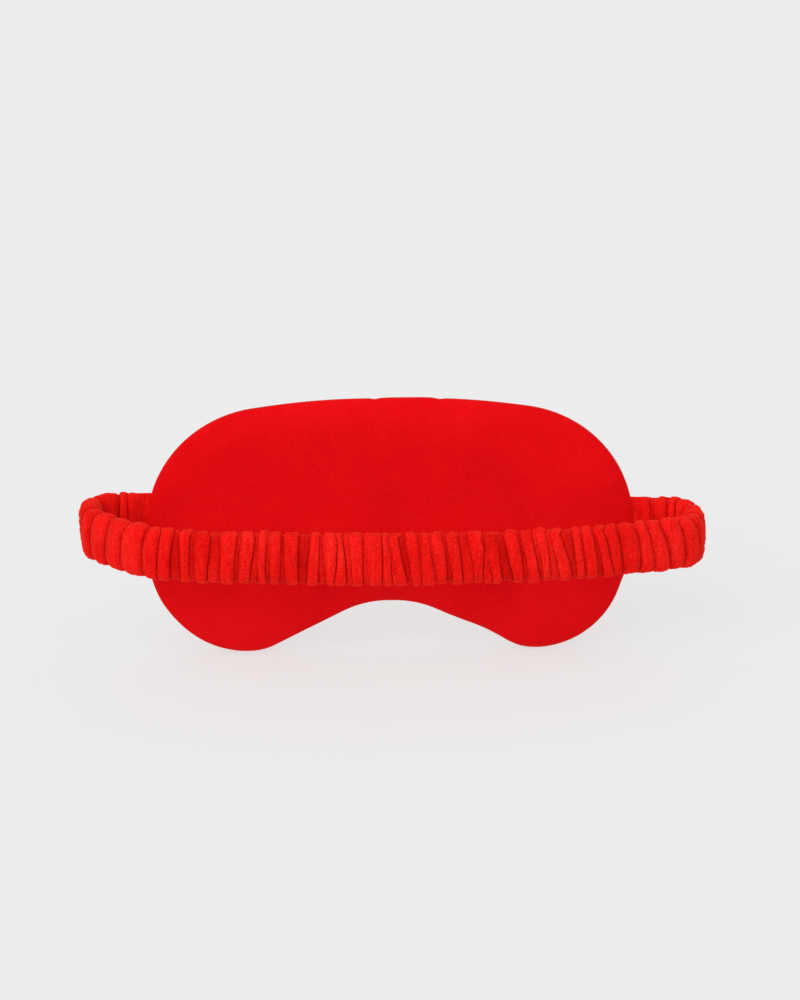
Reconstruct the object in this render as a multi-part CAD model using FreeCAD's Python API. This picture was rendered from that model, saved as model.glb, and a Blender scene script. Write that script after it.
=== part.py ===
import FreeCAD, Part
import os
from math import cos, sin, sqrt, tan
from FreeCAD import Vector

# Padded sleep mask that stands on its two cheek lobes, with an elastic strap in a gathered sleeve.
# The wearer's face goes on the -Y side, inside the strap's loop. Units are millimetres, +Z is up.
# The origin is on the floor, under the middle of the mask and its strap loop.

# ---- driving dimensions ----
seam_plane_y = 23.9        # the plane where the two velvet panels are sewn together
mask_half_width = 102.5
mask_height = 112.0
notch_height = 22.0        # the top of the nose notch
mask_thickness = 12.0
velvet = 0.9               # cloth thickness of both panels
seam_allowance = 6.5       # width of the turned-in edges
strap_height = 22.5        # the gathered sleeve, top to bottom
strap_thickness = 10.0
strap_z = 58.0             # height of the strap's middle, where it is sewn in
loop_half_width = 124.5    # half the strap loop's width, along its middle line
elastic_height = 19.0
elastic_thickness = 1.5
swing_gap = 0.7            # between the mask's side edge and the strap that swings
stretch_gap = 0.4          # between the strap's side parts and its back part
back_part_half = 96.0      # the back part of the strap spans this far each side of the middle

half_thick = mask_thickness / 2
flat_rim = 0.15            # what the rounded edges leave at the seam
tab_length = 6.5           # the strap's flat end, inside the side seam
tab_thickness = 2.4
tab_slot_play = 0.2
thread = 0.4
gap_half_width = 19.0      # the turning gap in the middle of the top edge
ample = 400.0              # larger than the whole mask

# Right half of the mask's edge, from the brow's middle round the side to the nose notch: the corners
# of the lines that the edge follows, each with the radius that rounds it, (x, z, radius)
half_outline = [
    (30.0, mask_height, 300.0),                             # the flat brow ends
    (mask_half_width + 5.0, mask_height - 11.0, 53.0),      # temple
    (mask_half_width - 1.6, 38.0, 60.0),                    # the side turns in, below its widest place
    (88.0, 0.0, 38.0),                                      # outer side of the cheek lobe
    (54.0, 0.0, 24.0),                                      # inner side of the cheek lobe
    (11.0, notch_height, 40.0),                             # nose notch
]

# The strap's middle line seen from above, relative to the seam plane: corners and their radii, (x, y, radius)
strap_route = [
    (90.0, 0.0, 0.0),
    (loop_half_width, 0.0, 11.0),
    (loop_half_width, -24.0, 12.0),
    (72.0, -41.0, 120.0),
    (0.0, -49.0, 250.0),
    (-70.0, -48.0, 150.0),
    (-100.0, -43.0, 30.0),
    (-loop_half_width, -20.0, 18.0),
    (-loop_half_width, 0.0, 11.0),
    (-90.0, 0.0, 0.0),
]


# ---- paths of straight runs joined by tangent arcs, drawn flat in X and Y ----
def rounded_path(corners):
    """The path as a list of ("line", from, to) and ("arc", centre, radius, start, sweep)."""
    points = [Vector(x, y, 0) for x, y, _ in corners]
    pieces = []
    here = points[0]
    for i in range(1, len(points) - 1):
        radius = corners[i][2]
        heading_in = (points[i] - points[i - 1]).normalize()
        heading_out = (points[i + 1] - points[i]).normalize()
        turn = heading_in.getAngle(heading_out)
        left_turn = heading_in.cross(heading_out).z > 0
        reach = radius * tan(turn / 2)
        arc_start = points[i] - heading_in * reach
        to_centre = Vector(-heading_in.y, heading_in.x, 0) * (1 if left_turn else -1)
        sweep = turn if left_turn else -turn
        pieces.append(("line", here, arc_start))
        pieces.append(("arc", arc_start + to_centre * radius, radius, arc_start, sweep))
        here = points[i] + heading_out * reach
    pieces.append(("line", here, points[-1]))
    return pieces


def turned(point, centre, angle):
    """point turned about centre."""
    arm = point - centre
    return centre + Vector(arm.x * cos(angle) - arm.y * sin(angle), arm.x * sin(angle) + arm.y * cos(angle), 0)


def path_edges(pieces, offset):
    """The path's edges moved sideways by offset, positive to the left of the way it runs."""
    edges = []
    for piece in pieces:
        if piece[0] == "line":
            _, start, end = piece
            heading = (end - start).normalize()
            aside = Vector(-heading.y, heading.x, 0) * offset
            edges.append(Part.LineSegment(start + aside, end + aside).toShape())
        else:
            _, centre, radius, start, sweep = piece
            from_centre = (start - centre).normalize()
            new_radius = radius - offset if sweep > 0 else radius + offset
            begin = centre + from_centre * new_radius
            middle, end = turned(begin, centre, sweep / 2), turned(begin, centre, sweep)
            edges.append(Part.Arc(begin, middle, end).toShape())
    return edges


def path_length(pieces):
    """The length of a path."""
    lines = [(piece[2] - piece[1]).Length for piece in pieces if piece[0] == "line"]
    arcs = [piece[2] * abs(piece[4]) for piece in pieces if piece[0] == "arc"]
    return sum(lines) + sum(arcs)


def block(x_range, y_range, z_range):
    """A box from its ranges."""
    size = [high - low for low, high in (x_range, y_range, z_range)]
    return Part.makeBox(*size, Vector(x_range[0], y_range[0], z_range[0]))


# ---- the mask's shape, as slabs and pillows ----
def mask_outline():
    """The mask's edge as a closed path that runs clockwise from the brow's middle."""
    brow_middle = (0.0, mask_height, 0.0)
    notch_middle = (0.0, notch_height, 0.0)
    left_half = [(-x, z, radius) for x, z, radius in reversed(half_outline)]
    right_pieces = rounded_path([brow_middle] + half_outline + [notch_middle])
    left_pieces = rounded_path([notch_middle] + left_half + [brow_middle])
    return right_pieces + left_pieces


def slab(inset, y_from, y_to):
    """A flat layer of the mask's shape, with its edge moved inward by inset."""
    face = Part.Face(Part.Wire(path_edges(mask_outline(), -inset)))
    face.rotate(Vector(0, 0, 0), Vector(1, 0, 0), 90)
    face.translate(Vector(0, y_from, 0))
    return face.extrude(Vector(0, y_to - y_from, 0))


def ring(outer_inset, inner_inset, y_from, y_to):
    """A flat band that follows the mask's edge."""
    return slab(outer_inset, y_from, y_to).cut(slab(inner_inset, y_from - 1, y_to + 1))


def pillow(inset, half):
    """A slab whose edges are rounded over its whole thickness."""
    body = slab(inset, -half, half)
    rims = [e for e in body.Edges if abs(e.BoundBox.YMax - e.BoundBox.YMin) < 0.01]
    return body.makeFillet(half - flat_rim, rims)


def half_space(side):
    """Everything on the face side (-1) or the outer side (+1) of the seam plane."""
    y_range = (-ample, 0) if side < 0 else (0, ample)
    return block((-ample, ample), y_range, (-ample, ample))


# ---- the padded mask ----
def strap_slots():
    """Where the strap's flat ends pass through the side seams."""
    half_tall = strap_height / 2 + tab_slot_play
    half_wide = tab_thickness / 2 + tab_slot_play
    inner_end = mask_half_width - tab_length - tab_slot_play
    z_range = (strap_z - half_tall, strap_z + half_tall)
    right = block((inner_end, ample), (-half_wide, half_wide), z_range)
    left = block((-ample, -inner_end), (-half_wide, half_wide), z_range)
    return right.fuse(left)


def panel(side):
    """One velvet panel with its turned-in seam allowance; side is -1 for the face side."""
    hollow = pillow(velvet, half_thick - velvet)
    skin = pillow(0, half_thick).cut(hollow).common(half_space(side))
    y_range = sorted((0, side * velvet))
    allowance = ring(velvet / 2, seam_allowance, *y_range)
    return skin.fuse(allowance).cut(strap_slots()).removeSplitter()


def wadding(side):
    """One layer of wadding, which fills its panel and lies over the seam allowance."""
    play = 0.3
    seam_room = 1.9
    filling = pillow(velvet + play, half_thick - velvet - play)
    kept_side = half_space(side)
    kept_side.translate(Vector(0, side * play, 0))
    seam_zone = ring(0, seam_allowance + play, -seam_room, seam_room)
    return filling.common(kept_side).cut(seam_zone)


def blackout_lining():
    """The light-proof sheet between the two layers of wadding."""
    return slab(seam_allowance + 1.0, -0.2, 0.2)


def perimeter_stitching():
    """The lockstitch through both seam allowances: its needle and bobbin threads."""
    stitch_inset = 3.0
    rows = []
    for side in (-1, 1):
        y_range = sorted((side * (velvet + 0.02), side * (velvet + thread)))
        rows.append(ring(stitch_inset, stitch_inset + thread, *y_range))
    return Part.makeCompound(rows).cut(strap_slots())


def turning_gap_stitching():
    """Slip stitches along the brow seam, where the mask was turned right side out and closed."""
    count = 13
    pitch = 2 * gap_half_width / (count - 1)
    stitch_length = 2.0
    radius = 0.3
    play = 0.05
    stitches = []
    for i in range(count):
        x = -gap_half_width + pitch * i
        start = Vector(x - stitch_length / 2, 0, brow_height(abs(x) + stitch_length / 2) + radius + play)
        stitches.append(Part.makeCylinder(radius, stitch_length, start, Vector(1, 0, 0)))
    return Part.makeCompound(stitches)


def brow_height(x):
    """The height of the mask's top edge near its middle, where it is flat and then one long arc."""
    _, centre, radius, start, _ = rounded_path([(0.0, mask_height, 0.0)] + half_outline)[1]
    return mask_height if x < start.x else centre.y + sqrt(radius ** 2 - (x - centre.x) ** 2)


# ---- the strap's flat ends, sewn into the side seams ----
def tab_block(side, height, thickness):
    """A block at one side seam, as long as the strap's flat end."""
    x_range = sorted((side * (mask_half_width - tab_length), side * mask_half_width))
    z_range = (strap_z - height / 2, strap_z + height / 2)
    return block(x_range, (-thickness / 2, thickness / 2), z_range)


def strap_tab(side):
    """The flattened end of the velvet sleeve, round the end of the elastic."""
    pocket_play = 0.1
    pocket = tab_block(side, elastic_height + pocket_play, elastic_thickness - 0.2)
    return tab_block(side, strap_height, tab_thickness).cut(pocket)


def elastic_end(side):
    """The end of the elastic, inside the flattened sleeve."""
    return tab_block(side, elastic_height, elastic_thickness - 0.3)


def bartack(side):
    """The dense row of zigzag stitches that holds the strap's end, on both faces of the tab."""
    count = 11
    pitch = 1.8
    reach = 2.4
    radius = thread / 2
    bars = []
    for face in (-1, 1):
        for i in range(count):
            z = strap_z + (i - (count - 1) / 2) * pitch
            lean = pitch / 3 if i % 2 else -pitch / 3
            start = Vector(side * (mask_half_width - 5.5), face * (tab_thickness / 2 + radius + 0.02), z)
            along = Vector(side * reach, 0, lean)
            bars.append(Part.makeCylinder(radius, along.Length, start, along))
    return Part.makeCompound(bars)


# ---- the strap, as an upright band along its route ----
def band(height, thickness, edge_radius=0.0):
    """The whole strap as an upright band of this height and thickness along the route."""
    pieces = rounded_path(strap_route)
    one, other = path_edges(pieces, thickness / 2), path_edges(pieces, -thickness / 2)
    ends = []
    for index in (0, -1):
        ends.append(Part.LineSegment(one[index].Vertexes[index].Point, other[index].Vertexes[index].Point).toShape())
    wire = Part.Wire(Part.__sortEdges__(one + other + ends))
    face = Part.Face(wire)
    face.translate(Vector(0, 0, strap_z - height / 2))
    solid = face.extrude(Vector(0, 0, height))
    if edge_radius:
        level = [e for e in solid.Edges if abs(e.BoundBox.ZMax - e.BoundBox.ZMin) < 0.01]
        solid = solid.makeFillet(edge_radius, level)
    return solid


def strap_part(whole, part):
    """The left, right or back part of a band; the side parts start just outside the mask's edge."""
    root = mask_half_width + swing_gap
    outside_mask = whole.cut(block((-root, root), (-15, 15), (0, mask_height)))
    near, far = back_part_half + stretch_gap / 2, ample
    back_end = back_part_half - stretch_gap / 2
    x_range = {"left": (-far, -near), "right": (near, far), "back": (-back_end, back_end)}[part]
    return outside_mask.common(block(x_range, (-ample, ample), (0, mask_height)))


def strap_length():
    """The strap's length along its middle, from seam to seam."""
    inside_mask = 2 * (mask_half_width - strap_route[0][0])
    return path_length(rounded_path(strap_route)) - inside_mask


tunnel_height = elastic_height + 1.8
tunnel_thickness = elastic_thickness + 0.6
sleeve_rounding = strap_thickness / 2 - 0.3

parts = {
    "back_panel": panel(-1),
    "front_panel": panel(1),
    "back_wadding": wadding(-1),
    "front_wadding": wadding(1),
    "blackout_lining": blackout_lining(),
    "perimeter_stitching": perimeter_stitching(),
    "turning_gap_stitching": turning_gap_stitching(),
}

for name, side in (("left", -1), ("right", 1)):
    parts[name + "_strap_tab"] = strap_tab(side)
    parts[name + "_elastic_end"] = elastic_end(side)
    parts[name + "_bartack"] = bartack(side)

sleeve = band(strap_height, strap_thickness, sleeve_rounding).cut(band(tunnel_height, tunnel_thickness))
elastic = band(elastic_height, elastic_thickness)
sleeve_thread = band(thread, thread)
sleeve_thread.translate(Vector(0, 0, -(elastic_height + thread) / 2 - 0.2))
for part in ("left", "back", "right"):
    parts[part + "_strap_sleeve"] = strap_part(sleeve, part)
    parts[part + "_strap_elastic"] = strap_part(elastic, part)
    parts[part + "_sleeve_thread"] = strap_part(sleeve_thread, part)

os.makedirs("parts", exist_ok=True)
for name, shape in parts.items():
    shape.translate(Vector(0, seam_plane_y, 0))
    if not shape.isValid() or not shape.Solids:
        raise RuntimeError(name + " is not a valid solid")
    shape.exportStep("parts/" + name + ".step")
    box = shape.optimalBoundingBox()
    print(name, len(shape.Solids), "solids", round(shape.Volume), "mm3", "x", round(box.XMin, 2), round(box.XMax, 2),
          "y", round(box.YMin, 2), round(box.YMax, 2), "z", round(box.ZMin, 2), round(box.ZMax, 2))
print("strap length from seam to seam", round(strap_length(), 1))
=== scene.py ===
# Padded velvet sleep mask with a gathered elastic strap, standing on its cheek lobes.
import math
import bmesh
import bpy
import numpy as np
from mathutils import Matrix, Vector, geometry, noise


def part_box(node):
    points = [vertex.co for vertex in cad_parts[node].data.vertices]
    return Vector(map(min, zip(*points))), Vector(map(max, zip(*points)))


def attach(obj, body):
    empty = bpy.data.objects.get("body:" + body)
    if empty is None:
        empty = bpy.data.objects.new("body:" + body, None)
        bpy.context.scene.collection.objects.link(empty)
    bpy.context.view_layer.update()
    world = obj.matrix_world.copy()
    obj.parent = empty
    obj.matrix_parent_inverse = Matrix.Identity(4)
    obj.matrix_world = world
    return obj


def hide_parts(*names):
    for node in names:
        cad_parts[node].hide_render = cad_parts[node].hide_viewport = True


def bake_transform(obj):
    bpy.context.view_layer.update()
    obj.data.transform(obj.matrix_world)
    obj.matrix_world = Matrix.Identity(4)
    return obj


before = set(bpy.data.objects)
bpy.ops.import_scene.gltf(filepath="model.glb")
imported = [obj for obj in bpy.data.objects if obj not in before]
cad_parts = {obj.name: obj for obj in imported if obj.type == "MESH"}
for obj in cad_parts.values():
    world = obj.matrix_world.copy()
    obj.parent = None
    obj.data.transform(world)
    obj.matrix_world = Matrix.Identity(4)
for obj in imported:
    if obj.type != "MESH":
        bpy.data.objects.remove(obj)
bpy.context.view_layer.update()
mm = 0.001
norm = np.linalg.norm


# places that come from the CAD frame, in millimetres
def boxMm(node):
    low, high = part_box(node)
    return np.array(low) / mm, np.array(high) / mm


panelLow, panelHigh = boxMm("front_panel")
sleeveLow, sleeveHigh = boxMm("back_strap_sleeve")
elasticHigh = boxMm("right_strap_elastic")[1]
seamY = panelLow[1]  # the plane where the two panels are sewn together
panelDepth = panelHigh[1] - seamY  # half the mask's thickness
halfWidth = boxMm("right_strap_tab")[1][0]
maskHeight = panelHigh[2]
strapZ = (sleeveLow[2] + sleeveHigh[2]) / 2
loopHalfWidth = elasticHigh[0] - 0.75  # half the CAD elastic's thickness


# straight runs joined by tangent arcs, as points about one step apart; a corner is (x, y, radius)
def roundedPath(corners, step):
    arcStep, closest = step / 4, 1e-6  # points closer than the second count as one
    corners = np.array(corners, float)
    points, radii = corners[:, :2], corners[:, 2]
    line = [points[0]]
    for i in range(1, len(points) - 1):
        headIn = points[i] - points[i - 1]
        headOut = points[i + 1] - points[i]
        headIn, headOut = headIn / norm(headIn), headOut / norm(headOut)
        turn = math.atan2(headIn[0] * headOut[1] - headIn[1] * headOut[0], headIn @ headOut)
        reach = radii[i] * math.tan(abs(turn) / 2)
        start = points[i] - headIn * reach
        centre = start + np.array([-headIn[1], headIn[0]]) * math.copysign(radii[i], turn)
        arm = start - centre
        count = max(2, math.ceil(radii[i] * abs(turn) / arcStep))
        for k in range(count + 1):
            angle = turn * k / count
            c, s = math.cos(angle), math.sin(angle)
            line.append(centre + np.array([arm[0] * c - arm[1] * s, arm[0] * s + arm[1] * c]))
    line.append(points[-1])
    line = np.array(line)
    keep = np.r_[True, norm(np.diff(line, axis=0), axis=1) > closest]
    line = line[keep]
    along = np.r_[0, np.cumsum(norm(np.diff(line, axis=0), axis=1))]
    at = np.linspace(0, along[-1], max(2, round(along[-1] / step)) + 1)
    return np.stack([np.interp(at, along, line[:, k]) for k in range(2)], axis=1)


def meshObject(name, points, faces, material, smooth=True):
    mesh = bpy.data.meshes.new(name)
    mesh.from_pydata([tuple(p) for p in np.asarray(points) * mm], [], faces)
    mesh.validate()
    mesh.polygons.foreach_set("use_smooth", [smooth] * len(mesh.polygons))
    mesh.materials.append(material)
    piece = bpy.data.objects.new(name, mesh)
    bpy.context.scene.collection.objects.link(piece)
    return piece


def linear(hexColour):
    parts = [int(hexColour[i:i + 2], 16) / 255 for i in (1, 3, 5)]
    return tuple(c / 12.92 if c <= 0.04045 else ((c + 0.055) / 1.055) ** 2.4 for c in parts) + (1.0,)


def addNode(material, kind, settings=None, inputs=None):
    node = material.node_tree.nodes.new(kind)
    for key, value in (settings or {}).items():
        setattr(node, key, value)
    for key, value in (inputs or {}).items():
        if isinstance(value, bpy.types.NodeSocket):
            material.node_tree.links.new(value, node.inputs[key])
        else:
            node.inputs[key].default_value = value
    return node


def newMaterial(name):
    material = bpy.data.materials.new(name)
    material.use_nodes = True
    material.node_tree.nodes.clear()
    return material


def finishMaterial(material, shader):
    addNode(material, "ShaderNodeOutputMaterial", None, {"Surface": shader.outputs[0]})
    return material


def ramp(material, factor, stops):
    node = addNode(material, "ShaderNodeValToRGB", None, {"Fac": factor})
    elements = node.color_ramp.elements
    while len(elements) < len(stops):
        elements.new(0.5)
    for element, (place, colour) in zip(elements, stops):
        element.position = place
        element.color = colour
    return node


velvetLook = {
    "deep": "#ca080d",     # the pile seen end on, between its tufts
    "face": "#dd0c12",     # the pile's usual colour
    "brushed": "#e71217",  # where the pile leans and catches the light
    "tuftMm": 0.55,        # one tuft of the pile; drawn about twice its real size, so that it shows
    "strokeMm": 34.0,      # the soft marks that a hand leaves on the pile
    "strokeShare": 0.35,
    "sheen": 0.5,
    "sheenRoughness": 0.40,
    "sheenTint": "#ff4a36",
    "tuftDepthMm": 0.12,
}
# the strap's copy of the velvet has lighter colours than the mask's: painted light for the strap standing
# out in front of the mask, also making up for the painted crease shade multiplied into it
strapLook = dict(velvetLook, deep="#d60a0c", face="#ee1814", brushed="#fc3028", sheen=1.0, tuftMm=0.75,
                 tuftDepthMm=0.36)
# painted shade for the strap's folds: colours multiplied into the velvet by fold height, darkest in the
# creases, lighter on the flat recesses, none on the ridge tops; then the pressed rib lines
paintedFoldShadeAndRibs = {
    "crease": "#c89090",  # painted shade deep in a crease
    # painted shade on the flat stretches between the ridges
    "recess": "#dfc2c2",
    "top": "#ffffff",
    "ribMm": 1.1,         # the lines that gathering presses into the pile, along each fold
    "ribLengthMm": 9.0,
}


def multiplied(material, first, second):
    node = addNode(material, "ShaderNodeMix", {"data_type": "RGBA", "blend_type": "MULTIPLY"},
                   {"Factor": 1.0, 6: first, 7: second})
    return node.outputs[2]


# Short-pile polyester velvet, cut from a brushed knit: matte face on, lighter where it turns away.
def velvet(name, look, folds=None):
    material = newMaterial(name)
    place = addNode(material, "ShaderNodeTexCoord")
    tufts = addNode(material, "ShaderNodeTexNoise", {"noise_dimensions": "3D"},
                    {"Vector": place.outputs["Object"], "Scale": 1 / (look["tuftMm"] * mm), "Detail": 3.0,
                     "Roughness": 0.6})
    strokes = addNode(material, "ShaderNodeTexNoise", {"noise_dimensions": "3D"},
                      {"Vector": place.outputs["Object"], "Scale": 1 / (look["strokeMm"] * mm),
                       "Detail": 2.0, "Roughness": 0.5, "Distortion": 0.4})
    fine = addNode(material, "ShaderNodeMath", {"operation": "MULTIPLY"},
                   {0: tufts.outputs["Fac"], 1: 1 - look["strokeShare"]})
    blended = addNode(material, "ShaderNodeMath", {"operation": "MULTIPLY_ADD"},
                      {0: strokes.outputs["Fac"], 1: look["strokeShare"], 2: fine.outputs[0]})
    colour = ramp(material, blended.outputs[0],
                  [(0.32, linear(look["deep"])), (0.5, linear(look["face"])),
                   (0.68, linear(look["brushed"]))])
    surfaceColour = colour.outputs["Color"]
    height = tufts.outputs["Fac"]
    if folds:
        # painted shade: the fold height darkens the velvet's colour in the creases and on the flat
        # recesses
        sunk = addNode(material, "ShaderNodeAttribute", {"attribute_name": "foldHeight"})
        shade = ramp(material, sunk.outputs["Fac"],
                     [(0.0, linear(folds["crease"])), (0.45, linear(folds["recess"])),
                      (0.9, linear(folds["top"]))])
        surfaceColour = multiplied(material, surfaceColour, shade.outputs["Color"])
        across = addNode(material, "ShaderNodeAttribute", {"attribute_name": "acrossFold"})
        split = addNode(material, "ShaderNodeSeparateXYZ", None, {0: place.outputs["Object"]})
        ribAt = addNode(material, "ShaderNodeMath", {"operation": "DIVIDE"},
                        {0: across.outputs["Fac"], 1: folds["ribMm"]})
        ribUp = addNode(material, "ShaderNodeMath", {"operation": "DIVIDE"},
                        {0: split.outputs["Z"], 1: folds["ribLengthMm"] * mm})
        ribPlace = addNode(material, "ShaderNodeCombineXYZ", None,
                           {"X": ribAt.outputs[0], "Y": ribUp.outputs[0]})
        ribs = addNode(material, "ShaderNodeTexNoise", {"noise_dimensions": "2D"},
                       {"Vector": ribPlace.outputs[0], "Scale": 1.0, "Detail": 1.5, "Roughness": 0.5})
        ribShade = ramp(material, ribs.outputs["Fac"],
                        [(0.3, linear("#f0dcdc")), (0.6, linear("#ffffff"))])
        surfaceColour = multiplied(material, surfaceColour, ribShade.outputs["Color"])
        both = addNode(material, "ShaderNodeMath", {"operation": "MULTIPLY_ADD"},
                       {0: ribs.outputs["Fac"], 1: 0.9, 2: height})
        height = both.outputs[0]
    bump = addNode(material, "ShaderNodeBump", None,
                   {"Height": height, "Strength": 0.6, "Distance": look["tuftDepthMm"] * mm})
    shader = addNode(material, "ShaderNodeBsdfPrincipled", None,
                     {"Base Color": surfaceColour, "Roughness": 0.95, "Specular IOR Level": 0.02,
                      "IOR": 1.5, "Sheen Weight": look["sheen"], "Sheen Roughness": look["sheenRoughness"],
                      "Sheen Tint": linear(look["sheenTint"]), "Normal": bump.outputs["Normal"]})
    return finishMaterial(material, shader)


# Spun polyester sewing thread, dyed to match: a twisted yarn with a faint shine.
def threadMaterial(name, hexColour):
    material = newMaterial(name)
    place = addNode(material, "ShaderNodeTexCoord")
    twist = addNode(material, "ShaderNodeTexWave", {"wave_type": "BANDS", "bands_direction": "DIAGONAL"},
                    {"Vector": place.outputs["Object"], "Scale": 1 / (0.35 * mm) / 6, "Distortion": 0.4})
    colour = ramp(material, twist.outputs["Fac"], [(0.0, linear("#a80609")), (1.0, linear(hexColour))])
    bump = addNode(material, "ShaderNodeBump", None,
                   {"Height": twist.outputs["Fac"], "Strength": 0.5, "Distance": 0.06 * mm})
    shader = addNode(material, "ShaderNodeBsdfPrincipled", None,
                     {"Base Color": colour.outputs["Color"], "Roughness": 0.55, "Sheen Weight": 0.2,
                      "Normal": bump.outputs["Normal"]})
    return finishMaterial(material, shader)


# Polyester wadding: loose crimped fibres, white and cloudy.
def waddingMaterial():
    material = newMaterial("polyester wadding")
    place = addNode(material, "ShaderNodeTexCoord")
    fibres = addNode(material, "ShaderNodeTexNoise", None,
                     {"Vector": place.outputs["Object"], "Scale": 1 / (1.6 * mm), "Detail": 8.0,
                      "Roughness": 0.7, "Distortion": 1.8})
    colour = ramp(material, fibres.outputs["Fac"], [(0.3, linear("#cfcfca")), (0.7, linear("#f4f4f0"))])
    bump = addNode(material, "ShaderNodeBump", None,
                   {"Height": fibres.outputs["Fac"], "Strength": 0.8, "Distance": 0.5 * mm})
    shader = addNode(material, "ShaderNodeBsdfPrincipled", None,
                     {"Base Color": colour.outputs["Color"], "Roughness": 0.95, "Specular IOR Level": 0.1,
                      "Sheen Weight": 0.3, "Normal": bump.outputs["Normal"]})
    return finishMaterial(material, shader)


# Plain-woven polyester, a fine grid of crossing yarns: the light-proof lining and the elastic.
def wovenMaterial(name, yarnMm, dark, light):
    material = newMaterial(name)
    place = addNode(material, "ShaderNodeTexCoord")
    waves = []
    for direction in ("X", "Z"):
        waves.append(addNode(material, "ShaderNodeTexWave",
                             {"wave_type": "BANDS", "bands_direction": direction},
                             {"Vector": place.outputs["Object"], "Scale": math.pi / (yarnMm * mm) / 10,
                              "Distortion": 0.3, "Detail": 1.0}))
    weave = addNode(material, "ShaderNodeMath", {"operation": "MULTIPLY"},
                    {0: waves[0].outputs["Fac"], 1: waves[1].outputs["Fac"]})
    colour = ramp(material, weave.outputs[0], [(0.0, linear(dark)), (1.0, linear(light))])
    bump = addNode(material, "ShaderNodeBump", None,
                   {"Height": weave.outputs[0], "Strength": 0.6, "Distance": yarnMm / 5 * mm})
    shader = addNode(material, "ShaderNodeBsdfPrincipled", None,
                     {"Base Color": colour.outputs["Color"], "Roughness": 0.8,
                      "Normal": bump.outputs["Normal"]})
    return finishMaterial(material, shader)


maskVelvet = velvet("short-pile velvet", velvetLook)
strapVelvet = velvet("gathered short-pile velvet", strapLook, paintedFoldShadeAndRibs)
redThread = threadMaterial("red polyester thread", "#dc0c10")
wadding = waddingMaterial()
liningCloth = wovenMaterial("light-proof lining", 0.5, "#0b0b0c", "#26262a")
elasticWeave = wovenMaterial("woven elastic", 0.8, "#b9b9b4", "#efefea")
print("materials made")


mask = {
    # right half of the edge, from the brow's middle to the nose notch, (x, z, radius)
    "corners": [(0.0, maskHeight, 0.0),
                (30.0, maskHeight, 300.0),  # the flat brow ends
                (halfWidth + 5.0, maskHeight - 11.0, 53.0),  # temple
                (halfWidth - 1.6, 38.0, 60.0),  # below the widest place
                (88.0, 0.0, 38.0), (54.0, 0.0, 24.0),  # outer and inner side of the cheek lobe
                (11.0, 22.0, 40.0), (0.0, 22.0, 0.0)],  # nose notch
    "gapMiddle": 7.0,       # the turning gap in the brow, closed by hand
    "gapHalfWidth": 13.5,
    "gapLift": 0.3,         # how far its edge stands up
    "gapNick": 0.4,         # and how deep the nick is at each of its ends
    "fullerCheek": 1.7,     # on the left
    "higherFlank": 1.7,     # of the notch, on the right
    "edgeStep": 2.0,        # spacing of the mesh along the edge
    "rings": [0.0, 0.5, 1.2, 2.2, 3.4, 4.8, 6.4, 8.2, 10.2],
    "gridStep": 3.0,        # spacing of the mesh in the middle
    "startHalfDepth": 4.7,  # how plump it is cut, before the wadding swells it
    "roundingReach": 9.5,   # how far in from the edge the panel curves
    "swell": 1.3,           # the most that the wadding pushes a panel out
    "seamGroove": 0.3,      # how deep the seam sinks between the two panels
    "grooveWidth": 0.9,
    "grooveStart": 9.0,     # the height over the floor from which it is that deep
    "clothThickness": 0.8,
    "allowance": 6.0,       # how wide the edges are that turn in at the seam
    "puckerDepth": 0.56,
    "puckerReach": 9.0,     # how far they run in from the seam
    "puckerMm": 5.5,        # and how far apart they lie
    "puckerOnLobes": 1.4,   # their share there, and the share elsewhere
    "puckerElsewhere": 0.8,
    "fill": 0.55,
}
velvetCloth = {  # Blender's cloth values, for how the velvet takes the wadding's push
    "quality": 6,
    "mass": 0.15,
    "tension_stiffness": 12,
    "compression_stiffness": 12,
    "shear_stiffness": 6,
    "bending_stiffness": 1.5,
    "use_pressure": True,
    "uniform_pressure_force": 4,
}
innerSteps = 4.0, 5.0  # mesh spacing of the layers inside, along the edge and in the middle
waddingShape = {
    "edgeInset": 2.2,    # the layers end this far inside the seam
    "thinner": 2.4,      # and each is this much thinner than its half of the mask
    "edgeThickness": 0.9,
    "cloudMm": 14.0,
    "cloudHeight": 0.25,
    "liningRoom": 0.45,  # from the middle of the lining to each layer's flat side
}
liningShape = {
    "edgeInset": 7.6,
    "waveMm": 18.0,
    "waveHeight": 0.15,
    "thickness": 0.3,
}


def settled(loop):
    # stuffed by hand: the left cheek is a little fuller, and the notch rises higher on the right
    cheekStart, cheekHeight, flankMiddle, spread = 80, 30, 41, 13
    loop = loop.copy()
    side = np.clip((-loop[:, 0] - cheekStart) / 15, 0, 1)
    loop[:, 0] -= mask["fullerCheek"] * side * np.exp(-((loop[:, 1] - cheekHeight) / spread) ** 2)
    flank = np.exp(-((loop[:, 0] - flankMiddle) / spread) ** 2) * (loop[:, 1] < 40)
    loop[:, 1] += mask["higherFlank"] * flank
    return loop


def gapRise(x):
    # the hand-closed stretch of the brow stands up a little, between two nicks
    aside, reach = np.abs(x - mask["gapMiddle"]), mask["gapHalfWidth"]
    inside = np.clip((reach - aside) / 6, 0, 1)
    nick = np.exp(-((aside - reach) / 1.6) ** 2)
    return mask["gapLift"] * inside - mask["gapNick"] * nick


def maskOutline(step):
    right = roundedPath(mask["corners"], step)
    left = (right * [-1, 1])[::-1]
    return settled(np.vstack([right, left[1:-1]]))


def inwardNormals(loop):
    along = np.roll(loop, -1, axis=0) - np.roll(loop, 1, axis=0)
    along /= norm(along, axis=1)[:, None]
    return np.stack([along[:, 1], -along[:, 0]], axis=1)


def inwardFrom(outline):
    # a function that gives the way inward at the outline's nearest place
    normals = inwardNormals(outline)
    return lambda x, z: normals[np.argmin((outline[:, 0] - x) ** 2 + (outline[:, 1] - z) ** 2)]


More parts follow.
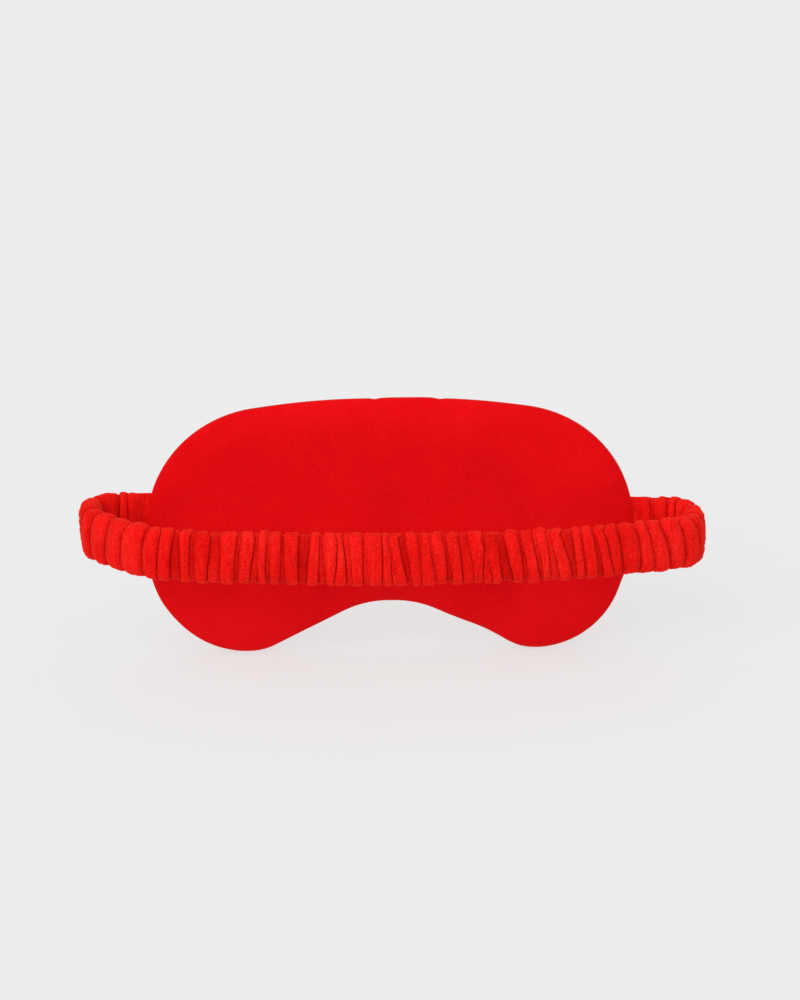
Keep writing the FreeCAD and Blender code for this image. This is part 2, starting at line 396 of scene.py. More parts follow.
def insideMesh(loop, step):
    # triangles that fill a closed loop, on an even grid of points
    low, high = loop.min(0), loop.max(0)
    points = [Vector(p) for p in loop]
    edges = [(i, (i + 1) % len(loop)) for i in range(len(loop))]
    rowStep = step * 0.866  # the height of an even triangle
    rows = int((high[1] - low[1]) / rowStep) + 1
    for row in range(rows + 1):
        z = low[1] + row * rowStep
        crossings = []
        for a, b in zip(loop, np.roll(loop, -1, axis=0)):
            if (a[1] > z) != (b[1] > z):
                crossings.append(a[0] + (z - a[1]) / (b[1] - a[1]) * (b[0] - a[0]))
        crossings.sort()
        for start, end in zip(crossings[::2], crossings[1::2]):
            x = math.ceil((start - low[0]) / step + (row % 2) / 2) * step + low[0] - (row % 2) * step / 2
            while x < end:
                away = np.min(np.hypot(loop[:, 0] - x, loop[:, 1] - z))
                if away > step * 0.6:
                    points.append(Vector((x, z)))
                x += step
    found = geometry.delaunay_2d_cdt(points, edges, [], 1, 1e-5)
    return np.array([tuple(v) for v in found[0]]), [tuple(f) for f in found[2]]


def roundedDepth(inset, reach, depth):
    power = 2.1  # 2 would be a quarter ellipse
    share = np.clip(1 - np.asarray(inset, float) / reach, 0, 1)
    return depth * (1 - share ** power) ** (1 / power)


def pillowMesh(outerInset, halfDepth, step, gridStep):
    # both sides of a pillow in the mask's shape: points, faces, each face's side, each point's inset
    loop = maskOutline(step)
    normals = inwardNormals(loop)
    count = len(loop)
    rings = mask["rings"]
    flat, insets = [], []
    for ring in rings:
        flat.append(loop + normals * (ring + outerInset))
        insets.append(np.full(count, ring))
    inner, triangles = insideMesh(flat[-1], gridStep)
    if len(inner) < count or np.abs(inner[:count] - flat[-1]).max() > 0.01:
        raise RuntimeError("the inside mesh lost its edge")
    extra = inner[count:]
    flat = np.vstack(flat + [extra])
    ringCount = len(rings)
    lastRing = flat[(ringCount - 1) * count:ringCount * count]
    extraInset = np.array([rings[-1] + np.min(np.hypot(*(lastRing - p).T)) for p in extra])
    insets = np.concatenate(insets + [extraInset])
    depth = roundedDepth(insets, mask["roundingReach"], halfDepth)
    size = len(flat)
    points, faces, sides = [], [], []
    for side in (-1, 1):
        points.append(np.stack([flat[:, 0], seamY + side * depth, flat[:, 1]], axis=1))

    def index(side, i):
        return i if side < 0 or i < count else size + i - count

    for side in (-1, 1):
        for ring in range(ringCount - 1):
            for i in range(count):
                j = (i + 1) % count
                here, further = ring * count, (ring + 1) * count
                quad = [here + i, here + j, further + j, further + i]
                faces.append([index(side, v) for v in (quad if side > 0 else quad[::-1])])
                sides.append(side)
        start = (ringCount - 1) * count
        for triangle in triangles:
            corners = [start + v for v in triangle]
            a, b, c = flat[corners[0]], flat[corners[1]], flat[corners[2]]
            clockwise = (b[0] - a[0]) * (c[1] - a[1]) - (b[1] - a[1]) * (c[0] - a[0]) < 0
            if clockwise == (side < 0):
                corners = corners[::-1]
            faces.append([index(side, v) for v in corners])
            sides.append(side)
    points = np.vstack([points[0], points[1][count:]])
    insets = np.concatenate([insets, insets[count:]])
    return points, faces, np.array(sides), insets


def swellByWadding(piece, insets):
    # the wadding presses the two velvet panels out, and the seam holds them at the edge
    rest = np.array([v.co for v in piece.data.vertices])
    cloth = piece.modifiers.new("wadding pressure", "CLOTH")
    for key, value in velvetCloth.items():
        setattr(cloth.settings, key, value)
    cloth.settings.effector_weights.gravity = 0
    cloth.collision_settings.use_collision = False
    scene = bpy.context.scene
    for step in range(1, 21):
        scene.frame_set(step)
    shown = piece.evaluated_get(bpy.context.evaluated_depsgraph_get())
    moved = np.array([v.co for v in shown.data.vertices]) - rest
    piece.modifiers.remove(cloth)
    scene.frame_set(1)
    # the seam holds the cloth, so it moves least there
    most = np.interp(insets, [0, 3, mask["roundingReach"]], [0.1, 0.8, mask["swell"]]) * mm
    length = norm(moved, axis=1)
    moved *= np.minimum(1, most / np.maximum(length, 1e-12))[:, None]
    piece.data.vertices.foreach_set("co", (rest + moved).ravel())
    print("wadding pushes the panels out by", round(float(length.max() / mm), 1), "mm before the limit")


def meshAfter(piece, kind, **settings):
    # the piece's mesh as one modifier leaves it
    modifier = piece.modifiers.new(kind.lower(), kind)
    for key, value in settings.items():
        setattr(modifier, key, value)
    shown = piece.evaluated_get(bpy.context.evaluated_depsgraph_get())
    mesh = bpy.data.meshes.new_from_object(shown)
    piece.modifiers.remove(modifier)
    return mesh


def setAttribute(mesh, name, values):
    attribute = mesh.attributes.get(name) or mesh.attributes.new(name, "FLOAT", "POINT")
    attribute.data.foreach_set("value", np.asarray(values, np.float32))


def getAttribute(mesh, name):
    values = np.zeros(len(mesh.vertices), np.float32)
    mesh.attributes[name].data.foreach_get("value", values)
    return values


def meshPoints(mesh):
    points = np.zeros(len(mesh.vertices) * 3, np.float32)
    mesh.vertices.foreach_get("co", points)
    return points.reshape(-1, 3).astype(float)


def thicken(piece, thickness):
    thin = piece.data
    piece.data = meshAfter(piece, "SOLIDIFY", thickness=thickness * mm, offset=-1)
    bpy.data.meshes.remove(thin)


def puckers(points, insets):
    # little pleats that run in from the turned edge, strongest on the cheek lobes
    reach, apart = mask["puckerReach"], mask["puckerMm"]
    lobeHeight, lobeStart = 25, 25
    depth = np.zeros(len(points))
    for i in np.nonzero(insets < reach)[0]:
        x, y, z = points[i]
        wave = noise.noise(Vector((x / apart, z / apart, 3.0 * math.copysign(1, y - seamY))))
        onLobe = z < lobeHeight and abs(x) > lobeStart
        share = mask["puckerOnLobes" if onLobe else "puckerElsewhere"]
        depth[i] = wave * share * math.sin(math.pi * min(insets[i], reach) / reach)
    return depth * mask["puckerDepth"]


def velvetPanels():
    depth, steps = mask["startHalfDepth"], (mask["edgeStep"], mask["gridStep"])
    points, faces, sides, insets = pillowMesh(0.0, depth, *steps)
    whole = meshObject("velvetWhole", points, faces, maskVelvet)
    whole.data.materials.append(maskVelvet)
    whole.data.polygons.foreach_set("material_index", (sides > 0).astype(int))
    setAttribute(whole.data, "inset", insets)
    swellByWadding(whole, insets)
    fine = meshAfter(whole, "SUBSURF", levels=1, render_levels=1)
    bpy.data.objects.remove(whole)
    points = meshPoints(fine) / mm
    insets = getAttribute(fine, "inset").astype(float)
    inwardAt = inwardFrom(maskOutline(1.0))
    side = np.sign(points[:, 1] - seamY)
    crest = puckers(points, insets)
    for i in np.nonzero(insets < mask["grooveWidth"])[0]:
        inward = inwardAt(points[i, 0], points[i, 2])
        groove = mask["seamGroove"] * (1 - insets[i] / mask["grooveWidth"]) ** 2
        groove *= min(1.0, max(0.0, points[i, 2] / mask["grooveStart"]))
        points[i, 0] += inward[0] * groove
        points[i, 2] += inward[1] * groove
    points[:, 1] += side * crest
    gapDepth = 5  # how far down from the brow the gap's rise fades out
    onBrow = np.clip(1 - insets / gapDepth, 0, 1) * (points[:, 2] > maskHeight / 2)
    points[:, 2] += gapRise(points[:, 0]) * onBrow
    faces = [tuple(p.vertices) for p in fine.polygons]
    onFront = np.array([p.material_index for p in fine.polygons]) == 1
    pieces = []
    for name, chosen, way in (("velvetBack", ~onFront, -1), ("velvetFront", onFront, 1)):
        own = [f for f, keep in zip(faces, chosen) if keep]
        piece = meshObject(name, *usedBy(own, points), maskVelvet)
        turnEdgeIn(piece, way)
        thicken(piece, mask["clothThickness"])
        pieces.append(piece)
    bpy.data.meshes.remove(fine)
    return pieces


def usedBy(faces, points):
    # the points that the faces use, and the faces numbered to suit
    used = sorted(set(v for f in faces for v in f))
    number = {v: i for i, v in enumerate(used)}
    return points[used], [[number[v] for v in f] for f in faces]


def turnEdgeIn(piece, way):
    # the seam allowance: past the seam, the cloth turns back between the two panels
    mesh = bmesh.new()
    mesh.from_mesh(piece.data)
    edges = [e for e in mesh.edges if e.is_boundary]
    inwardAt = inwardFrom(maskOutline(1.0))
    halfWay = mask["allowance"] / 2
    for reach, depth in ((1.2, 0.15), (halfWay, 0.5), (halfWay, 0.6)):
        made = bmesh.ops.extrude_edge_only(mesh, edges=edges)["geom"]
        fresh = [v for v in made if isinstance(v, bmesh.types.BMVert)]
        for v in fresh:
            inward = inwardAt(v.co.x / mm, v.co.z / mm)
            v.co.x += inward[0] * reach * mm
            v.co.z += inward[1] * reach * mm
            v.co.y = (seamY + way * depth) * mm
        edges = [e for e in made if isinstance(e, bmesh.types.BMEdge) and e.is_boundary
                 and all(v in fresh for v in e.verts)]
    for face in mesh.faces:
        face.smooth = True
    mesh.to_mesh(piece.data)
    mesh.free()


def waddingPiece(name, way):
    # one layer of wadding: flat against the lining, crowned against its panel
    shape = waddingShape
    points, faces, sides, _ = pillowMesh(shape["edgeInset"], panelDepth - shape["thinner"], *innerSteps)
    own, shell = usedBy([f for f, side in zip(faces, sides) if side == way], points)
    for p in own:
        cloud = noise.noise(Vector((p[0] / shape["cloudMm"], p[2] / shape["cloudMm"], 7.0 * way)))
        thick = max(abs(p[1] - seamY), shape["edgeThickness"]) + shape["cloudHeight"] * cloud
        p[1] = seamY + way * thick
    flatSide = own.copy()
    flatSide[:, 1] = seamY + way * shape["liningRoom"]
    count = len(own)
    sidesOfFaces = {(a, b): 1 for f in shell for a, b in zip(f, f[1:] + f[:1])}
    walls = [[b, a, a + count, b + count] for a, b in sidesOfFaces if (b, a) not in sidesOfFaces]
    faces = shell + [[v + count for v in f[::-1]] for f in shell] + walls
    piece = meshObject(name, np.vstack([own, flatSide]), faces, wadding)
    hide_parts("back_wadding" if way < 0 else "front_wadding")
    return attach(piece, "mask")


def liningPiece():
    shape = liningShape
    loop = maskOutline(innerSteps[0])
    loop = loop + inwardNormals(loop) * shape["edgeInset"]
    flat, triangles = insideMesh(loop, innerSteps[1])
    points = []
    for x, z in flat:
        wave = noise.noise(Vector((x / shape["waveMm"], z / shape["waveMm"], 1.0)))
        points.append((x, seamY + shape["waveHeight"] * wave, z))
    faces = []
    for a, b, c in triangles:
        left = (flat[b][0] - flat[a][0]) * (flat[c][1] - flat[a][1])
        right = (flat[b][1] - flat[a][1]) * (flat[c][0] - flat[a][0])
        faces.append((a, b, c) if left > right else (a, c, b))
    piece = meshObject("lightProofLining", points, faces, liningCloth)
    thicken(piece, shape["thickness"])
    x, z = loop[:, 0], loop[:, 1]
    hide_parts("blackout_lining")
    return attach(piece, "mask")


back, front = velvetPanels()
for piece, node in ((back, "back_panel"), (front, "front_panel")):
    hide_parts(node)
    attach(piece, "mask")
waddingPiece("waddingBack", -1)
waddingPiece("waddingFront", 1)
liningPiece()
print("mask made")


routeStart = 96.0  # inside the side seam
strap = {
    # the middle line from the right seam to the left one, (x, y from the seam plane, radius); the right
    # loop stands out a little more
    "route": [(routeStart, 0.0, 0.0), (loopHalfWidth + 1.5, 0.0, 11.0), (loopHalfWidth + 1.5, -24.0, 12.0),
              (72.0, -41.0, 120.0), (0.0, -49.0, 250.0), (-70.0, -48.0, 150.0), (-100.0, -43.0, 30.0),
              (-loopHalfWidth, -20.0, 18.0), (-loopHalfWidth, 0.0, 11.0), (-routeStart, 0.0, 0.0)],
    "halfTall": 11.0,
    "halfThick": 5.0,
    "roundness": 3.0,            # of the cross-section: 2 is an oval, more is squarer
    "smoothStart": 7.0,          # beside the seam the sleeve is not gathered
    "ridgeWidth": (4.7, 0.9),    # how wide the ridges are, and by how much they differ
    "recessWidth": (2.2, 1.1),   # the same for the flat stretches between them
    "bowAside": 0.004,           # how far the folds bow, for each mm from the middle
    "loopStart": 97.0,           # how far out the two loops start; they have no flat stretches
    "loopFoldWidth": ((8.6, 1.8), (5.8, 0.9)),  # in the left loop and in the right one
    "loopLean": (-0.9, 2.3),     # how far the folds lean there, at the left and at the right
    "loopBow": 1.0,              # and how far they bow
    "loopCrease": 0.85,          # the share of the creases' depth that is left there
    "loopSquare": 2.3,           # how flat their tops are: 2 is round
    "recessShare": 0.7,          # how many ridges have a flat stretch beside them
    "creaseDepth": 2.1,          # how deep the cloth goes in beside a ridge
    "recessDepth": (0.95, 0.3),  # how far a flat stretch lies below the ridges
    "edgeShare": 0.75,           # how much of those depths is left on the top and bottom edges
    "lean": (0.7, 0.016),        # how far the ridges lean in the middle, and more for each mm to the right
    "endHeight": 0.26,           # the share of the sleeve's thickness that the side seam leaves
    "samplesRidge": 13,
    "samplesRecess": 7,
    "samplesRound": 92,
    "flatEnd": 5.0,              # where the sleeve flattens into the side seam
    "endPieceLength": 17.0,
    "tilt": 0.020,               # the strap lies this much lower for each mm to the right
    "lift": 0.4,
    "lumpMm": 6.0,               # the cloth's soft unevenness
    "lumpHeight": 0.3,
    "clumpMm": 1.4,              # the pile's clumps
    "clumpHeight": 0.42,
    "tunnelHalfTall": 9.85,      # the room for the elastic inside the sleeve
    "tunnelHalfThick": 1.05,
    "elasticHalfTall": 9.3,
    "elasticHalfThick": 0.6,
    "elasticTail": 5.5,          # how much of it is caught in each side seam
    "threadHalf": 0.2,
    "threadDrop": 9.6,           # the sleeve's own seam lies this far below the strap's middle
}
# how much one fold differs from another, in mm where it is a length
foldVariety = {
    "lean": 0.45,
    "taper": 0.45,
    "bow": (0.1, 0.35),
    "back": 0.9,           # the lean on the side that can't be seen from in front
    "crease": (0.8, 1.1),
    "sunk": (-0.1, 0.35),
    "square": (3.6, 5.6),  # how flat a ridge's top is: 2 is round
    "tilt": 0.25,
    "flatTilt": 0.2,
    "step": (0.4, 0.9),    # how far the crease beside a flat stretch goes below it
    "wiggle": 0.7,
}
foldRng = np.random.default_rng(33)


class Route:
    def __init__(self, corners):
        step, reach, spread, seamPoints = 0.25, 24, 9, 50
        line = roundedPath(corners, step)
        # smoothed, so that cloth runs evenly into the bends
        kernel = np.exp(-0.5 * (np.arange(-reach, reach + 1) / spread) ** 2)
        kernel /= kernel.sum()
        before = line[0] + (line[0] - line[reach:0:-1])
        after = line[-1] + (line[-1] - line[-2:-2 - reach:-1])
        padded = np.vstack([before, line, after])
        self.line = np.stack([np.convolve(padded[:, k], kernel, "valid") for k in range(2)], axis=1)
        self.along = np.r_[0, np.cumsum(norm(np.diff(self.line, axis=0), axis=1))]
        self.along -= np.interp(halfWidth, self.line[:seamPoints, 0], self.along[:seamPoints])
        heading = np.gradient(self.line, axis=0)
        heading /= norm(heading, axis=1)[:, None]
        self.outward = np.stack([-heading[:, 1], heading[:, 0]], axis=1)
        self.end = self.along[-1]

    def at(self, s):
        centre = np.stack([np.interp(s, self.along, self.line[:, k]) for k in range(2)], axis=-1)
        outward = np.stack([np.interp(s, self.along, self.outward[:, k]) for k in range(2)], axis=-1)
        return centre, outward / norm(outward, axis=-1)[..., None]


route = Route(strap["route"])


def section(halfThick, halfTall, count, roundness):
    # a cross-section as even points: outward offset, height, and the outward direction of each
    fine = np.linspace(0, 2 * math.pi, 2000, endpoint=False)
    power = 2 / roundness
    a = halfThick * np.sign(np.cos(fine)) * np.abs(np.cos(fine)) ** power
    z = halfTall * np.sign(np.sin(fine)) * np.abs(np.sin(fine)) ** power
    step = np.hypot(np.diff(np.r_[a, a[0]]), np.diff(np.r_[z, z[0]]))
    along = np.r_[0, np.cumsum(step)]
    at = np.linspace(0, along[-1], count, endpoint=False)
    a, z = np.interp(at, along, np.r_[a, a[0]]), np.interp(at, along, np.r_[z, z[0]])
    da, dz = np.roll(a, -1) - np.roll(a, 1), np.roll(z, -1) - np.roll(z, 1)
    size = np.hypot(da, dz)
    return a, z, dz / size, -da / size


def ofSize(size, least):
    # one size out of a range, given as its usual value and how much it differs
    return max(least, foldRng.normal(*size))


def placeFolds():
    # the edges of all ridges and of the flat stretches between them, and what lies between each two edges
    vary = foldVariety
    narrowest, lastRoom = 3.2, 3.0  # of a ridge, and of what may be left at the far end
    smooth = dict(sunk=0.5, square=3.0, tilt=0.0, samples=strap["samplesRidge"])
    edges = [dict(s=0.0, lean=0.0, bow=0.0, back=0.0, deep=0.5)]
    stretches = [smooth]
    s = strap["smoothStart"]
    while s < strapLength - strap["smoothStart"] - lastRoom:
        x = route.at(np.array(s))[0][0]
        inLoop, onRight = abs(x) > strap["loopStart"], int(x > 0)
        lean = strap["loopLean"][onRight] if inLoop else strap["lean"][0] + strap["lean"][1] * x
        lean += foldRng.normal(0, vary["lean"])
        taper = foldRng.normal(0, vary["taper"])
        bow = foldRng.normal(*vary["bow"])
        curve = -math.copysign(strap["loopBow"], x) if inLoop else -strap["bowAside"] * x
        width = ofSize(strap["loopFoldWidth"][onRight] if inLoop else strap["ridgeWidth"], narrowest)
        back = foldRng.normal(0, vary["back"])
        depth = strap["creaseDepth"] * (strap["loopCrease"] if inLoop else 1.0)
        crease = depth * foldRng.uniform(*vary["crease"])
        edges.append(dict(s=s, lean=lean - taper, bow=curve - bow, back=back, deep=crease))
        sunk = foldRng.uniform(*vary["sunk"])
        square = strap["loopSquare"] if inLoop else foldRng.uniform(*vary["square"])
        stretches.append(dict(sunk=sunk, square=square, tilt=foldRng.normal(0, vary["tilt"]),
                              samples=strap["samplesRidge"]))
        s += width
        if not inLoop and foldRng.random() < strap["recessShare"]:
            sunk = ofSize(strap["recessDepth"], 0.5)
            edges[-1]["deep"] = max(edges[-1]["deep"] * 0.9, 1.2)
            edges.append(dict(s=s, lean=lean + taper, bow=curve + bow, back=back,
                              deep=sunk + foldRng.uniform(*vary["step"])))
            stretches.append(dict(sunk=sunk, square=5.0, tilt=foldRng.normal(0, vary["flatTilt"]),
                                  samples=strap["samplesRecess"]))
            s += ofSize(strap["recessWidth"], 0.9)
    edges.append(dict(s=strapLength - strap["smoothStart"], lean=0.0, bow=0.0, back=0.0, deep=1.3))
    stretches.append(smooth)
    edges.append(dict(s=strapLength, lean=0.0, bow=0.0, back=0.0, deep=0.5))
    return edges, stretches


strapLength = route.end - (halfWidth - routeStart)  # from seam to seam
foldEdges, stretches = placeFolds()
print("strap is", round(strapLength, 1), "mm from seam to seam, with", len(stretches), "folds and flats")


def edgeLines(outShare, height):
    # where the edges of the folds run, all round the cross-section
    out = np.clip(outShare * 1.5, -1, 1) * 0.5 + 0.5
    lines = []
    for k, edge in enumerate(foldEdges):
        wiggle = np.array([noise.noise(Vector((k * 3.7, h * 0.9, o * 1.5)))
                           for h, o in zip(height, out)])
        line = edge["s"] + height * (edge["lean"] * out + edge["back"] * (1 - out))
        line += edge["bow"] * (1 - height ** 2) * np.sign(outShare)
        atSeam = k in (0, len(foldEdges) - 1)
        lines.append(line + (0.0 if atSeam else foldVariety["wiggle"]) * wiggle)
    lines, closest = np.array(lines), 0.7
    for k in range(1, len(lines)):
        lines[k] = np.maximum(lines[k], lines[k - 1] + closest)
    return lines


def foldSteps(count):
    # places across a fold from -1 to 1, closer together near its edges
    even = 0.45
    t = np.linspace(-1, 1, count + 1)
    return even * t + (1 - even) * np.sin(t * math.pi / 2)


def sleeveColumns(first, last):
    # points of the gathered cloth from one edge to another: place along the strap, depth, and fold height
    a, z, na, nz = section(strap["halfThick"], strap["halfTall"], strap["samplesRound"],
                           strap["roundness"])
    height = z / strap["halfTall"]
    lines = edgeLines(na, height)
    share = strap["edgeShare"] + (1 - strap["edgeShare"]) * np.abs(na) ** 1.5
    places, drops, heights = [], [], []
    for k in range(first, last):
        stretch = stretches[k]
        width = lines[k + 1] - lines[k]
        narrow = np.clip(width / 3.0, 0.3, 1)
        sunk = (stretch["sunk"] + stretch["tilt"] * height) * share
        steps = foldSteps(stretch["samples"])
        for t in steps[:-1] if k < last - 1 else steps:
            deep = foldEdges[k if t < 0 else k + 1]["deep"] * share * narrow
            deep = np.maximum(deep, sunk + 0.15)
            rise = 1 - math.sqrt(1 - abs(t) ** stretch["square"])
            drop = sunk + (deep - sunk) * rise
            places.append(lines[k] + width * (t + 1) / 2)
            drops.append(drop)
            # the fold height, which the strap's velvet reads for its painted crease shade
            heights.append(1 - np.clip(drop / strap["creaseDepth"], 0, 1))
    return np.array(places), np.array(drops), np.array(heights), (a, z, na, nz)


def strapHeight(s):
    # the strap's middle: it was sewn in a little lower on the right
    x = route.at(np.asarray(s, float))[0][..., 0]
    return strapZ + strap["lift"] - strap["tilt"] * x


def sleevePoints(s, offset, sectionShape):
    # from a place along the strap and a depth into the cloth to a point in space
    a, z, na, nz = sectionShape
    ends = np.minimum(s, strapLength - s)
    flatten = np.clip(ends / strap["flatEnd"], 0, 1)
    thinnest = strap["endHeight"]
    flatten = thinnest + (1 - thinnest) * flatten * flatten * (3 - 2 * flatten)
    across = (a - na * offset) * flatten
    centre, outward = route.at(s)
    x = centre[:, 0] + outward[:, 0] * across
    y = centre[:, 1] + outward[:, 1] * across + seamY
    up = strapHeight(s) + (z - nz * offset * flatten)
    return np.stack([x, y, up], axis=1)


def tubeFaces(rings, around, start, outwardFacing):
    faces = []
    for k in range(rings - 1):
        for i in range(around):
            j = (i + 1) % around
            quad = [k * around + i, (k + 1) * around + i, (k + 1) * around + j, k * around + j]
            faces.append([start + v for v in (quad if outwardFacing else quad[::-1])])
    return faces


def closedTube(rings, around, outwardFacing):
    caps = [list(range(around)), list(range(rings * around - 1, (rings - 1) * around - 1, -1))]
    return tubeFaces(rings, around, 0, outwardFacing) + [c if outwardFacing else c[::-1] for c in caps]


def sleevePiece(name, first, last, tabAt=None):
    places, drops, heights, shape = sleeveColumns(first, last)
    around = strap["samplesRound"]
    if tabAt is not None:
        # the flat end inside the side seam has no folds
        start = np.array([-6.0, -3.0, -0.6]) if tabAt == 0 else strapLength + np.array([0.6, 3.0, 6.0])
        seamPart = start[:, None] + np.zeros((1, around))
        # the flat ends get a fold height of 0.8, so only a little painted shade
        stacks = [(seamPart, places), (np.full((3, around), 0.3), drops),
                  (np.full((3, around), 0.8), heights)]
        places, drops, heights = [np.vstack(pair if tabAt == 0 else pair[::-1]) for pair in stacks]
    count = len(places)
    points = np.vstack([sleevePoints(places[k], drops[k], shape) for k in range(count)])
    lumps = np.array([noise.noise(Vector(p / strap["lumpMm"])) for p in points])
    clumps = np.array([noise.noise(Vector(p / strap["clumpMm"])) for p in points])
    roughness = lumps * strap["lumpHeight"] + clumps * strap["clumpHeight"]
    flat, calmEnd = places.ravel(), 6  # it fades out towards the side seams
    roughness *= np.clip(np.minimum(flat, strapLength - flat) / calmEnd, 0, 1)
    outward = route.at(flat)[1]
    points[:, 0] += outward[:, 0] * np.tile(shape[2], count) * roughness
    points[:, 1] += outward[:, 1] * np.tile(shape[2], count) * roughness
    points[:, 2] += np.tile(shape[3], count) * roughness
    inner = section(strap["tunnelHalfThick"], strap["tunnelHalfTall"], around, strap["roundness"])
    pick = sorted(set(list(range(0, count, 8)) + [count - 1]))  # the tunnel has fewer rings
    tunnel = np.vstack([tunnelPoints(places[k], inner) for k in pick])
    base = len(points)
    faces = tubeFaces(count, around, 0, True) + tubeFaces(len(pick), around, base, False)
    lastOuter, lastInner = (count - 1) * around, base + (len(pick) - 1) * around
    for i in range(around):
        j = (i + 1) % around
        faces.append([i, j, base + j, base + i])
        faces.append([lastOuter + j, lastOuter + i, lastInner + i, lastInner + j])
    piece = meshObject(name, np.vstack([points, tunnel]), faces, strapVelvet)
    # foldHeight drives the velvet's painted crease shade; inside the tunnel it is 0.3
    for attribute, values, inside in (("foldHeight", heights.ravel(), 0.3), ("acrossFold", flat, 0.0)):
        setAttribute(piece.data, attribute, np.r_[values, np.full(len(tunnel), inside)])
    print(name, "made with", len(piece.data.polygons), "faces")
    return piece


def tunnelPoints(s, shape):
    a, z = shape[0], shape[1]
    centre, outward = route.at(s)
    return np.stack([centre[:, 0] + outward[:, 0] * a, centre[:, 1] + outward[:, 1] * a + seamY,
                     strapHeight(s) + z], axis=1)


def bandPiece(name, start, stop, halfThick, halfTall, material, slotName, rise=0.0):
    # a plain band along the strap's middle, such as the elastic or a seam's thread
    around, spacing = 20, 2.5
    shape = section(halfThick, halfTall, around, 4.0)
    stops = np.linspace(start, stop, max(3, int((stop - start) / spacing)))
    points = np.vstack([tunnelPoints(np.full(around, s), shape) for s in stops])
    points[:, 2] += rise
    piece = meshObject(name, points, closedTube(len(stops), around, True), material)
    return piece


def edgeNear(s):
    return min(range(len(foldEdges)), key=lambda k: abs(foldEdges[k]["s"] - s))


splitRight = edgeNear(strap["endPieceLength"])
splitLeft = edgeNear(strapLength - strap["endPieceLength"])
rightS, leftS = foldEdges[splitRight]["s"], foldEdges[splitLeft]["s"]
sleeveRightEnd = sleevePiece("sleeveRightEnd", 0, splitRight, tabAt=0)
sleeveLoop = sleevePiece("sleeveLoop", splitRight, splitLeft)
sleeveLeftEnd = sleevePiece("sleeveLeftEnd", splitLeft, len(stretches), tabAt=1)
elastic = (strap["elasticHalfThick"], strap["elasticHalfTall"], elasticWeave, "elastic")
seam = (strap["threadHalf"], strap["threadHalf"], redThread, "thread")
elasticRightEnd = bandPiece("elasticRightEnd", -strap["elasticTail"], rightS, *elastic)
elasticLoop = bandPiece("elasticLoop", rightS, leftS, *elastic)
elasticLeftEnd = bandPiece("elasticLeftEnd", leftS, strapLength + strap["elasticTail"], *elastic)
seamLoop = bandPiece("sleeveSeamThread", rightS, leftS, *seam, rise=-strap["threadDrop"])
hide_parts("right_strap_tab")
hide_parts("left_strap_tab")
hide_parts("left_strap_sleeve", "back_strap_sleeve", "right_strap_sleeve")
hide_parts("right_elastic_end")
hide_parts("left_elastic_end")
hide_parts("left_strap_elastic", "back_strap_elastic", "right_strap_elastic")
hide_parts("left_sleeve_thread", "back_sleeve_thread", "right_sleeve_thread")
for piece, way in ((sleeveRightEnd, 1), (elasticRightEnd, 1), (sleeveLeftEnd, -1), (elasticLeftEnd, -1)):
    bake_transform(piece)
for piece in (sleeveLoop, elasticLoop, seamLoop):
    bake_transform(piece)
print("strap made")


def tubeAlong(path, radius, sides):
    path = np.array(path, float)
    heading = np.gradient(path, axis=0)
    heading /= norm(heading, axis=1)[:, None]
    points = []
    for p, h in zip(path, heading):
        one = np.cross(h, [0, 1, 0])
        one /= norm(one)
        two = np.cross(h, one)
        for i in range(sides):
            angle = 2 * math.pi * i / sides
            points.append(p + radius * (math.cos(angle) * one + math.sin(angle) * two))
    return points, closedTube(len(path), sides, False)


stitchShape = {
    "count": 10,
    "radius": 0.14,
    "halfLength": 1.0,
    "depth": 1.35,  # below the brow's edge
    "rise": 0.3,    # of a stitch's middle over its ends
    "slant": 0.25,
}


def closingStitches():
    # slip stitches that close the gap where the mask was turned right side out
    shape, reach = stitchShape, mask["gapHalfWidth"]
    edge = maskOutline(0.5)
    points, faces = [], []
    for i in range(shape["count"]):
        x = mask["gapMiddle"] - reach + 2 * reach * i / (shape["count"] - 1)
        path = []
        for t in np.linspace(-1, 1, 9):
            here = x + t * shape["halfLength"]
            top = np.interp(abs(here), edge[:60, 0], edge[:60, 1]) + float(gapRise(here))
            up = top - shape["depth"] + shape["rise"] * (1 - t * t)
            path.append((here, seamY + shape["slant"] * t, up))
        own, ownFaces = tubeAlong(path, shape["radius"], 8)
        faces += [tuple(v + len(points) for v in f) for f in ownFaces]
        points += own
    piece = meshObject("closingStitches", points, faces, redThread)
    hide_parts("turning_gap_stitching")
    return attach(piece, "mask")


closingStitches()
for node in ("perimeter_stitching", "left_bartack", "right_bartack"):
    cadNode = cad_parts[node]
    cadNode.data.materials.clear()
    cadNode.data.materials.append(redThread)
print("stitches made")


stage = {
    "floorHalf": 30.0,  # metres, so that its edge stays out of sight
    "floorColour": "#7e7e7e",
    "floorGlow": 0.63,
    "worldStrength": 0.73,
    "overheadStrength": 0.25,
    "frontStrength": 1.25,
    "azimuth": 2.0,     # degrees round the object
    "elevation": 19.0,
    "distance": 1.3,
    "viewTall": 0.418,  # how much of the object's plane the picture's height shows
    "aimAside": 0.004,
    "aimAboveMiddle": 0.011,
}


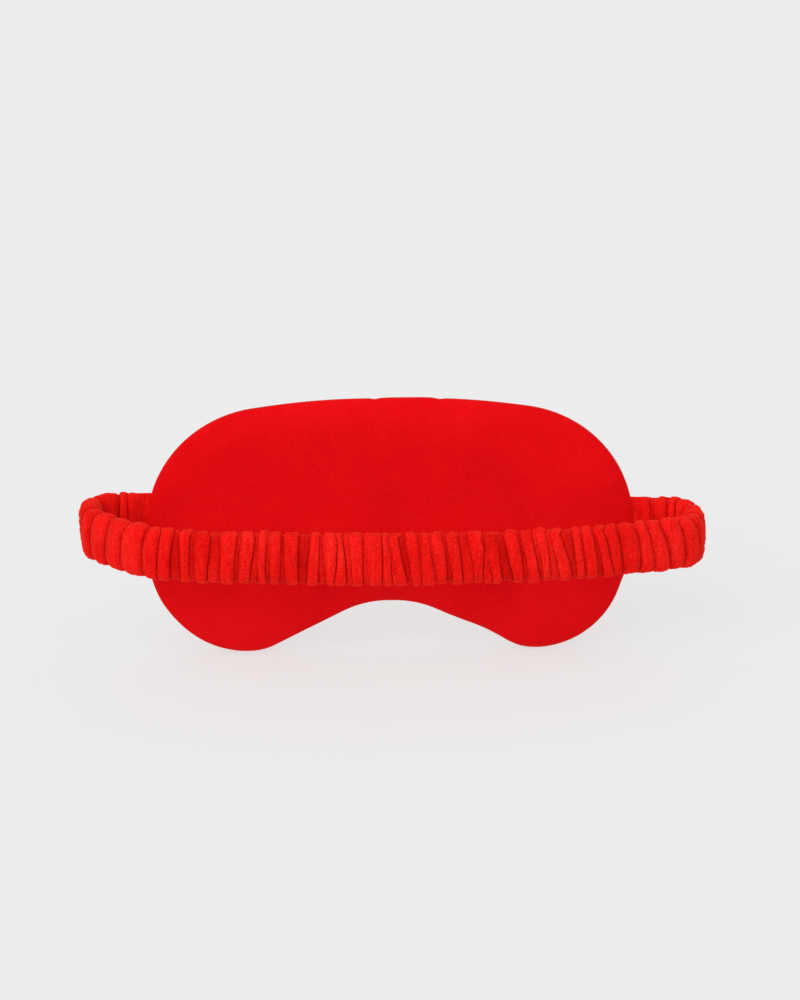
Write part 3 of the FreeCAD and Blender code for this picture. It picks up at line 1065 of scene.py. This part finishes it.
def floorMaterial():
    # a light table's matt top: it glows, so that the shadow on it stays faint
    material = newMaterial("light table")
    place = addNode(material, "ShaderNodeTexCoord")
    grain = addNode(material, "ShaderNodeTexNoise", None,
                    {"Vector": place.outputs["Object"], "Scale": 40.0, "Detail": 2.0})
    base = linear(stage["floorColour"])
    darker = tuple(c * 0.99 for c in base[:3]) + (1.0,)
    colour = ramp(material, grain.outputs["Fac"], [(0.0, darker), (1.0, base)])
    shader = addNode(material, "ShaderNodeBsdfPrincipled", None,
                     {"Base Color": colour.outputs["Color"], "Roughness": 0.95, "Specular IOR Level": 0.0,
                      "Emission Color": (1.0, 1.0, 1.0, 1.0),
                      "Emission Strength": stage["floorGlow"]})
    return finishMaterial(material, shader)


half = stage["floorHalf"]
floorMesh = bpy.data.meshes.new("floor")
floorMesh.from_pydata([(-half, -half, 0), (half, -half, 0), (half, half, 0), (-half, half, 0)], [],
                      [(0, 1, 2, 3)])
floorMesh.materials.append(floorMaterial())
floor = bpy.data.objects.new("floor", floorMesh)
bpy.context.scene.collection.objects.link(floor)

world = bpy.data.worlds.new("studio")
world.use_nodes = True
world.node_tree.nodes["Background"].inputs["Color"].default_value = (1, 1, 1, 1)
world.node_tree.nodes["Background"].inputs["Strength"].default_value = stage["worldStrength"]
bpy.context.scene.world = world


def sun(name, towards, strength, softness):
    light = bpy.data.lights.new(name, "SUN")
    light.energy = strength
    light.angle = math.radians(softness)
    lamp = bpy.data.objects.new(name, light)
    lamp.rotation_euler = (-Vector(towards)).to_track_quat("Z", "Y").to_euler()
    bpy.context.scene.collection.objects.link(lamp)


sun("overhead softbox", (0.1, 0.15, -1.0), stage["overheadStrength"], 70)
sun("front softbox", (0.65, 1.0, -0.85), stage["frontStrength"], 45)

tilt, swing = math.radians(stage["elevation"]), math.radians(stage["azimuth"])
target = Vector((stage["aimAside"], seamY * mm, maskHeight / 2 * mm + stage["aimAboveMiddle"]))
away = Vector((-math.sin(swing) * math.cos(tilt), -math.cos(swing) * math.cos(tilt), math.sin(tilt)))
away *= stage["distance"]
filmTall = 36  # millimetres
camera = bpy.data.objects.new("camera", bpy.data.cameras.new("camera"))
camera.data.sensor_width = filmTall
camera.data.lens = filmTall * stage["distance"] / stage["viewTall"]
camera.location = target + away
camera.rotation_euler = away.to_track_quat("Z", "Y").to_euler()
bpy.context.scene.collection.objects.link(camera)
bpy.context.scene.camera = camera
bpy.context.scene.view_settings.view_transform = "Standard"
print("stage made")
